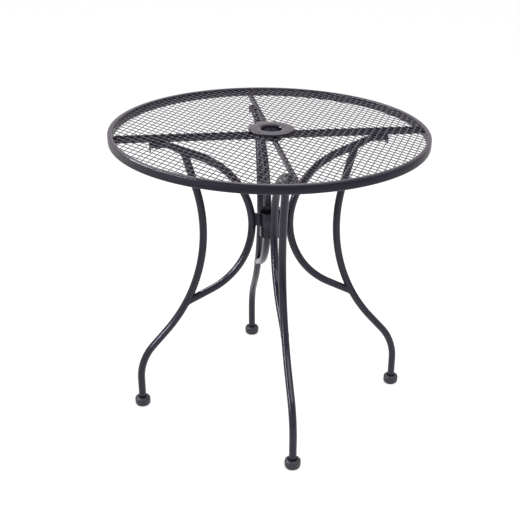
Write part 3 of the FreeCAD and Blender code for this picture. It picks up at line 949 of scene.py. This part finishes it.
class TABLE_OT_brackets(bpy.types.Operator):
    """Sheet brackets under the arms, folded down past the brace ends, and their bolts"""
    bl_idname = "table.brackets"
    bl_label = "Brackets and bolts"

    def execute(self, context):
        finish_set(self.make_bracket(), "bracket", "bracket_sheets", PAINT, "leg_brackets")
        finish_set(self.make_bolt(), "bolt", "bolt_set", STEEL, "bracket_bolts")
        return {"FINISHED"}

    def make_bracket(self):
        """Plate under the arm, with its outer end folded down and its free corners rounded."""
        sheet = 3.2 * MM
        start = 250 * MM
        half = 12.5 * MM
        outer = BRACKET_HIGH.x
        low = Vector((start, -half, BRACKET_HIGH.z - sheet))
        high = Vector((outer - sheet, half, BRACKET_HIGH.z))
        piece = open_box("bracket", low, high)
        choose("FACE", lambda middle: middle.x > high.x - TIGHT)
        extrude_by((sheet, 0, 0))
        choose("FACE", lambda middle: middle.x > high.x + TIGHT and middle.z < low.z + TIGHT)
        extrude_by((0, 0, BRACKET_LOW.z - low.z))
        choose("EDGE", lambda middle: middle.x > outer - TIGHT and middle.z > high.z - TIGHT)
        bevel_edges(4 * MM, 6)
        choose("EDGE", lambda middle: abs(abs(middle.y) - half) < TIGHT and (
            middle.x < start + TIGHT or middle.z < BRACKET_LOW.z + TIGHT))
        bevel_edges(3 * MM, 4)
        choose_all()
        bpy.ops.mesh.normals_make_consistent(inside=False)
        close_piece(piece)
        return soften(piece, 0.4 * MM, 2)

    def make_bolt(self):
        """Hexagon head with its washer face, under the brace's pressed end."""
        distance = 268.5 * MM
        half_flats = 5 * MM
        head = 4 * MM
        head_top = BOLT_LOW.z + head
        washer_low = head_top - 1.0 * MM
        clear_choice()
        bpy.ops.mesh.primitive_cylinder_add(
            vertices=6, radius=half_flats / math.cos(math.pi / 6), depth=head,
            location=(distance, 0, BOLT_LOW.z + head / 2), rotation=(0, 0, math.pi / 6))
        piece = open_piece("bolt")
        choose("FACE", lambda middle: middle.z < BOLT_LOW.z + TIGHT)
        bpy.ops.mesh.inset(thickness=0.7 * MM)
        close_piece(piece)
        soften(piece, 0.45 * MM, 3, 40)
        hole = 3.2 * MM
        edge = 8.5 * MM
        washer = hoop("washer", hole, edge, washer_low, head_top, (0.2 * MM, 0.4 * MM, 0.2 * MM, 0.2 * MM),
                      centre=(distance, 0, 0), steps=48, rounds=2)
        return join_pieces([piece, washer], "bolt")


class TABLE_OT_glides(bpy.types.Operator):
    """Moulded glides under the legs"""
    bl_idname = "table.glides"
    bl_label = "Foot glides"

    def execute(self, context):
        sizes = context.scene.table_sizes
        outer = GLIDE_HIGH.x - sizes.foot_radius
        top = GLIDE_HIGH.z
        socket = sizes.tube_radius - 0.2 * MM
        socket_floor = top - 3 * MM
        glide = lathe("glide", [
            (0, 0, 0),
            (outer - 3.2 * MM, 0, 2.0 * MM),
            (outer, 5.5 * MM, 3.0 * MM),
            (outer, top, 6.5 * MM),
            (socket + 1.6 * MM, top, 1.2 * MM),
            (socket, socket_floor, 0),
            (0, socket_floor, 0),
        ], centre=(sizes.foot_radius, 0, 0), steps=64, rounds=6)
        finish_set(glide, "glide", "glide_set", GLIDE_PLASTIC, "foot_glides")
        return {"FINISHED"}


class TABLE_OT_collar(bpy.types.Operator):
    """Ring and lugs between the braces, and the sleeve that takes the pole"""
    bl_idname = "table.collar"
    bl_label = "Pole collar"

    def execute(self, context):
        sizes = context.scene.table_sizes
        inner = RING_HIGH.x - 1.5 * MM
        ring = hoop("collar_band", inner, RING_HIGH.x, RING_LOW.z, RING_HIGH.z,
                    (0.3 * MM, 0.7 * MM, 0.5 * MM, 0.3 * MM), rounds=3)
        finish_piece(ring, PAINT, "collar_ring")
        finish_piece(self.make_sleeve(sizes), PLASTIC, "pole_sleeve")
        finish_set(self.make_lug(sizes), "lug", "lug_set", PAINT, "collar_lugs")
        return {"FINISHED"}

    def make_sleeve(self, sizes):
        """Lipped sleeve with a boss for the clamp screw, drilled from the boss to the bore."""
        bore = 24 * MM
        wall = bore + 3.3 * MM
        lip = POLE_HIGH.x
        sleeve = lathe("pole_bush", [
            (bore, POLE_LOW.z, 0.8 * MM),
            (wall, POLE_LOW.z, 1.0 * MM),
            (wall, RING_HIGH.z, 0),
            (lip, RING_HIGH.z, 0.5 * MM),
            (lip, POLE_HIGH.z, 0.8 * MM),
            (lip - 1.7 * MM, POLE_HIGH.z, 0.4 * MM),
            (wall - 1.2 * MM, RING_HIGH.z - 1.0 * MM, 0.5 * MM),
            (bore, POLE_HIGH.z - 13 * MM, 2.0 * MM),
        ])
        boss_bore = sizes.stud_radius + 0.1 * MM
        boss_radius = 7.5 * MM
        boss_root = wall - 1.0 * MM
        boss_face = wall + 0.8 * MM
        boss = hoop("clamp_boss", boss_bore, boss_radius, boss_root, boss_face,
                    (0, 0, 0.5 * MM, 0.3 * MM), steps=48, rounds=3)
        point_along_clamp(boss, sizes)
        hole = sizes.stud_radius + 0.15 * MM
        past = 2 * MM
        drill = hoop("clamp_drill", 0, hole, bore - past, wall + past, (0, 0, 0, 0), steps=48)
        point_along_clamp(drill, sizes)
        apply_modifier(sleeve, "BOOLEAN", operation="DIFFERENCE", object=drill)
        bpy.data.objects.remove(drill)
        shade(sleeve)
        return join_pieces([sleeve, boss], "pole_bush")

    def make_lug(self, sizes):
        """Lug that narrows in its middle, from inside the ring's skin to inside the brace."""
        half = sizes.lug_width / 2
        scoop = 4.2 * MM
        waist = 0.8 * MM
        low = Vector((RING_HIGH.x - 1 * MM, -half, LUG_LOW.z))
        high = Vector((sizes.brace_waist_radius - 6 * MM, half, LUG_HIGH.z))
        piece = open_box("lug", low, high)
        bpy.ops.mesh.subdivide(number_cuts=11)
        mesh = bmesh.from_edit_mesh(piece.data)
        middle = (low + high) / 2
        for corner in mesh.verts:
            pinch = 1 - ((corner.co.x - middle.x) / (middle.x - low.x)) ** 2
            corner.co.z -= (corner.co.z - middle.z) / (high.z - middle.z) * scoop * pinch
            corner.co.y -= corner.co.y / half * waist * pinch
        bmesh.update_edit_mesh(piece.data)
        close_piece(piece)
        return soften(piece, 0.9 * MM, 3)


class TABLE_OT_clamp(bpy.types.Operator):
    """Fluted knob and threaded stud that clamp the pole"""
    bl_idname = "table.clamp"
    bl_label = "Clamp screw"

    def execute(self, context):
        sizes = context.scene.table_sizes
        self.make_knob(sizes)
        self.make_stud(sizes)
        return {"FINISHED"}

    def make_knob(self, sizes):
        """Round knob with a sunk face, and flutes that deepen from their start to the rim."""
        inner = sizes.knob_face
        outer = inner + sizes.knob_thickness
        radius = sizes.knob_radius
        socket = sizes.stud_radius + 0.1 * MM
        socket_floor = inner + 3.1 * MM
        sunk_face = outer - 0.7 * MM
        knob = lathe("clamp_knob_fluted", [
            (socket, inner, 0.2 * MM),
            (radius, inner, 0.7 * MM),
            (radius, outer, 1.2 * MM),
            (radius * 0.68, outer, 0.3 * MM),
            (radius * 0.60, sunk_face, 0.3 * MM),
            (0, sunk_face, 0),
            (0, socket_floor, 0),
            (socket, socket_floor, 0),
        ], steps=120)
        flutes = 12
        flute_start = 0.75
        half_depth = 0.35 * MM
        for corner in knob.data.vertices:
            away = math.hypot(corner.co.x, corner.co.y)
            if away > radius * flute_start:
                wave = math.cos(flutes * math.atan2(corner.co.y, corner.co.x))
                inward = half_depth * (1 - wave) * (away / radius - flute_start) / (1 - flute_start)
                corner.co.x -= corner.co.x / away * inward
                corner.co.y -= corner.co.y / away * inward
        point_along_clamp(knob, sizes)
        finish_piece(knob, PLASTIC, "clamp_knob", body="clamp_handle")

    def make_stud(self, sizes):
        """Stud with a ring for each turn of its thread."""
        start = 24.2 * MM
        end = sizes.knob_face + 3.0 * MM
        crest = sizes.stud_radius
        root = crest - 0.45 * MM
        pitch = 1.0 * MM
        outline = [(0, start, 0), (root, start, 0)]
        height = start + pitch / 2
        while height < end - pitch / 2:
            outline += [(crest, height, 0), (root, height + pitch / 2, 0)]
            height += pitch
        outline += [(root, end, 0), (0, end, 0)]
        stud = lathe("clamp_stud_threaded", outline, steps=48, smooth=50)
        point_along_clamp(stud, sizes)
        finish_piece(stud, STEEL, "clamp_stud", body="clamp_slider")


class TABLE_OT_welds(bpy.types.Operator):
    """Rippled weld beads where the frame's pieces meet"""
    bl_idname = "table.welds"
    bl_label = "Weld beads"

    def execute(self, context):
        sizes = context.scene.table_sizes
        places = self.brace_end(sizes) + self.leg_top(sizes) + self.upright_seams(sizes)
        ripple = self.make_ripple(sizes)
        ripples = [turned_copy(ripple, "weld_ripple", 0, place) for place in places]
        bpy.data.objects.remove(ripple)
        welds = join_pieces(round_the_table(join_pieces(ripples, "weld"), "weld"), "weld_beads")
        finish_piece(shade(welds, 60), PAINT)
        return {"FINISHED"}

    def make_ripple(self, sizes):
        """One flattened ripple of a bead, at the origin."""
        clear_choice()
        bpy.ops.mesh.primitive_uv_sphere_add(segments=8, ring_count=5, radius=sizes.weld_bead)
        ripple = open_piece("weld_ripple_first")
        bpy.ops.transform.resize(value=(1.05, 1.05, 0.85))
        return close_piece(ripple, 60)

    def brace_end(self, sizes):
        """Places round the brace's lower end, on the leg's large bend."""
        centre = leg_facts(sizes)[2]
        direction = heading_vector(-sizes.brace_foot_slope)

        def reach(start, rise):
            return reach_ring(start, direction, centre, sizes.leg_waist_bend + rise)

        return meeting_loop(sizes, brace_facts(sizes)[2], direction, reach)

    def leg_top(self, sizes):
        """Places round the leg's top end, on the brace's upper run."""
        upper = brace_facts(sizes)[1]
        away = heading_vector(math.pi / 2 + sizes.brace_top_slope)
        direction = heading_vector(math.pi / 2 - sizes.leg_top_lean)
        centre = leg_facts(sizes)[2]
        base = centre - heading_vector(-sizes.leg_top_lean) * sizes.leg_waist_bend

        def reach(start, rise):
            return (-rise - (start - upper).dot(away)) / direction.dot(away)

        return meeting_loop(sizes, base, direction, reach)

    def upright_seams(self, sizes):
        """Seams of the first lug at its ring and brace, and of the first arm at the hub and rim."""
        sunk = 0.3 * MM
        half = sizes.lug_width / 2
        ring = math.sqrt(RING_HIGH.x ** 2 - half ** 2)
        skin = math.sqrt(sizes.tube_radius ** 2 - half ** 2)
        centre = brace_facts(sizes)[0]
        places = []
        for height in self.heights(LUG_LOW.z, LUG_HIGH.z):
            bend = centre.x - math.sqrt(sizes.brace_bend ** 2 - (height - centre.z) ** 2)
            for distance in (ring, bend - skin):
                places += [Vector((distance, side * (half - sunk), height)) for side in (-1, 1)]
        for height in self.heights(ARM_LOW.z, ARM_HIGH.z):
            for distance in (ARM_LOW.x + sunk, ARM_HIGH.x):
                places += [Vector((distance, side * sizes.arm_width / 2, height)) for side in (-1, 1)]
        return places

    def heights(self, low, high):
        """Heights of the ripples of an upright seam, which stops short of both ends."""
        start = 2 * MM
        short = 3 * MM
        step = 1.7 * MM
        return [low + start + index * step for index in range(int((high - low - short) / step))]


class TABLE_PT_pieces(bpy.types.Panel):
    """Sizes, colours and pieces of the table"""
    bl_idname = "TABLE_PT_pieces"
    bl_label = "Umbrella Table"
    bl_space_type = "VIEW_3D"
    bl_region_type = "UI"
    bl_category = "Umbrella Table"

    def draw(self, context):
        layout = self.layout
        scene = context.scene
        for settings in (scene.table_sizes, scene.table_colours, scene.table_stage):
            box = layout.box()
            for name in settings.__annotations__:
                box.prop(settings, name)
        for operator in OPERATORS:
            layout.operator(operator.bl_idname)


OPERATORS = (
    TABLE_OT_stage,
    TABLE_OT_rim,
    TABLE_OT_mesh,
    TABLE_OT_arms,
    TABLE_OT_hub,
    TABLE_OT_legs,
    TABLE_OT_braces,
    TABLE_OT_brackets,
    TABLE_OT_glides,
    TABLE_OT_collar,
    TABLE_OT_clamp,
    TABLE_OT_welds,
)
CLASSES = (TableSizes, TableColours, StageSettings) + OPERATORS + (TABLE_PT_pieces,)


def register():
    for item in CLASSES:
        bpy.utils.register_class(item)
    bpy.types.Scene.table_sizes = PointerProperty(type=TableSizes)
    bpy.types.Scene.table_colours = PointerProperty(type=TableColours)
    bpy.types.Scene.table_stage = PointerProperty(type=StageSettings)


def unregister():
    del bpy.types.Scene.table_stage
    del bpy.types.Scene.table_colours
    del bpy.types.Scene.table_sizes
    for item in reversed(CLASSES):
        bpy.utils.unregister_class(item)


def paint_nodes():
    """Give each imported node, which a modelled piece hides, the first finish of its slot."""
    for part in frame["record"]["subparts"]:
        coats = [coat for coat, slot in SLOTS.items() if slot == part["material_slot"]]
        node = frame["nodes"][part["node"]]
        node.data.materials.clear()
        node.data.materials.append(finish(coats[0]))


def main():
    register()
    for operator in OPERATORS:
        space, name = operator.bl_idname.split(".")
        getattr(getattr(bpy.ops, space), name)()
    paint_nodes()


if __name__ == "__main__":
    main()
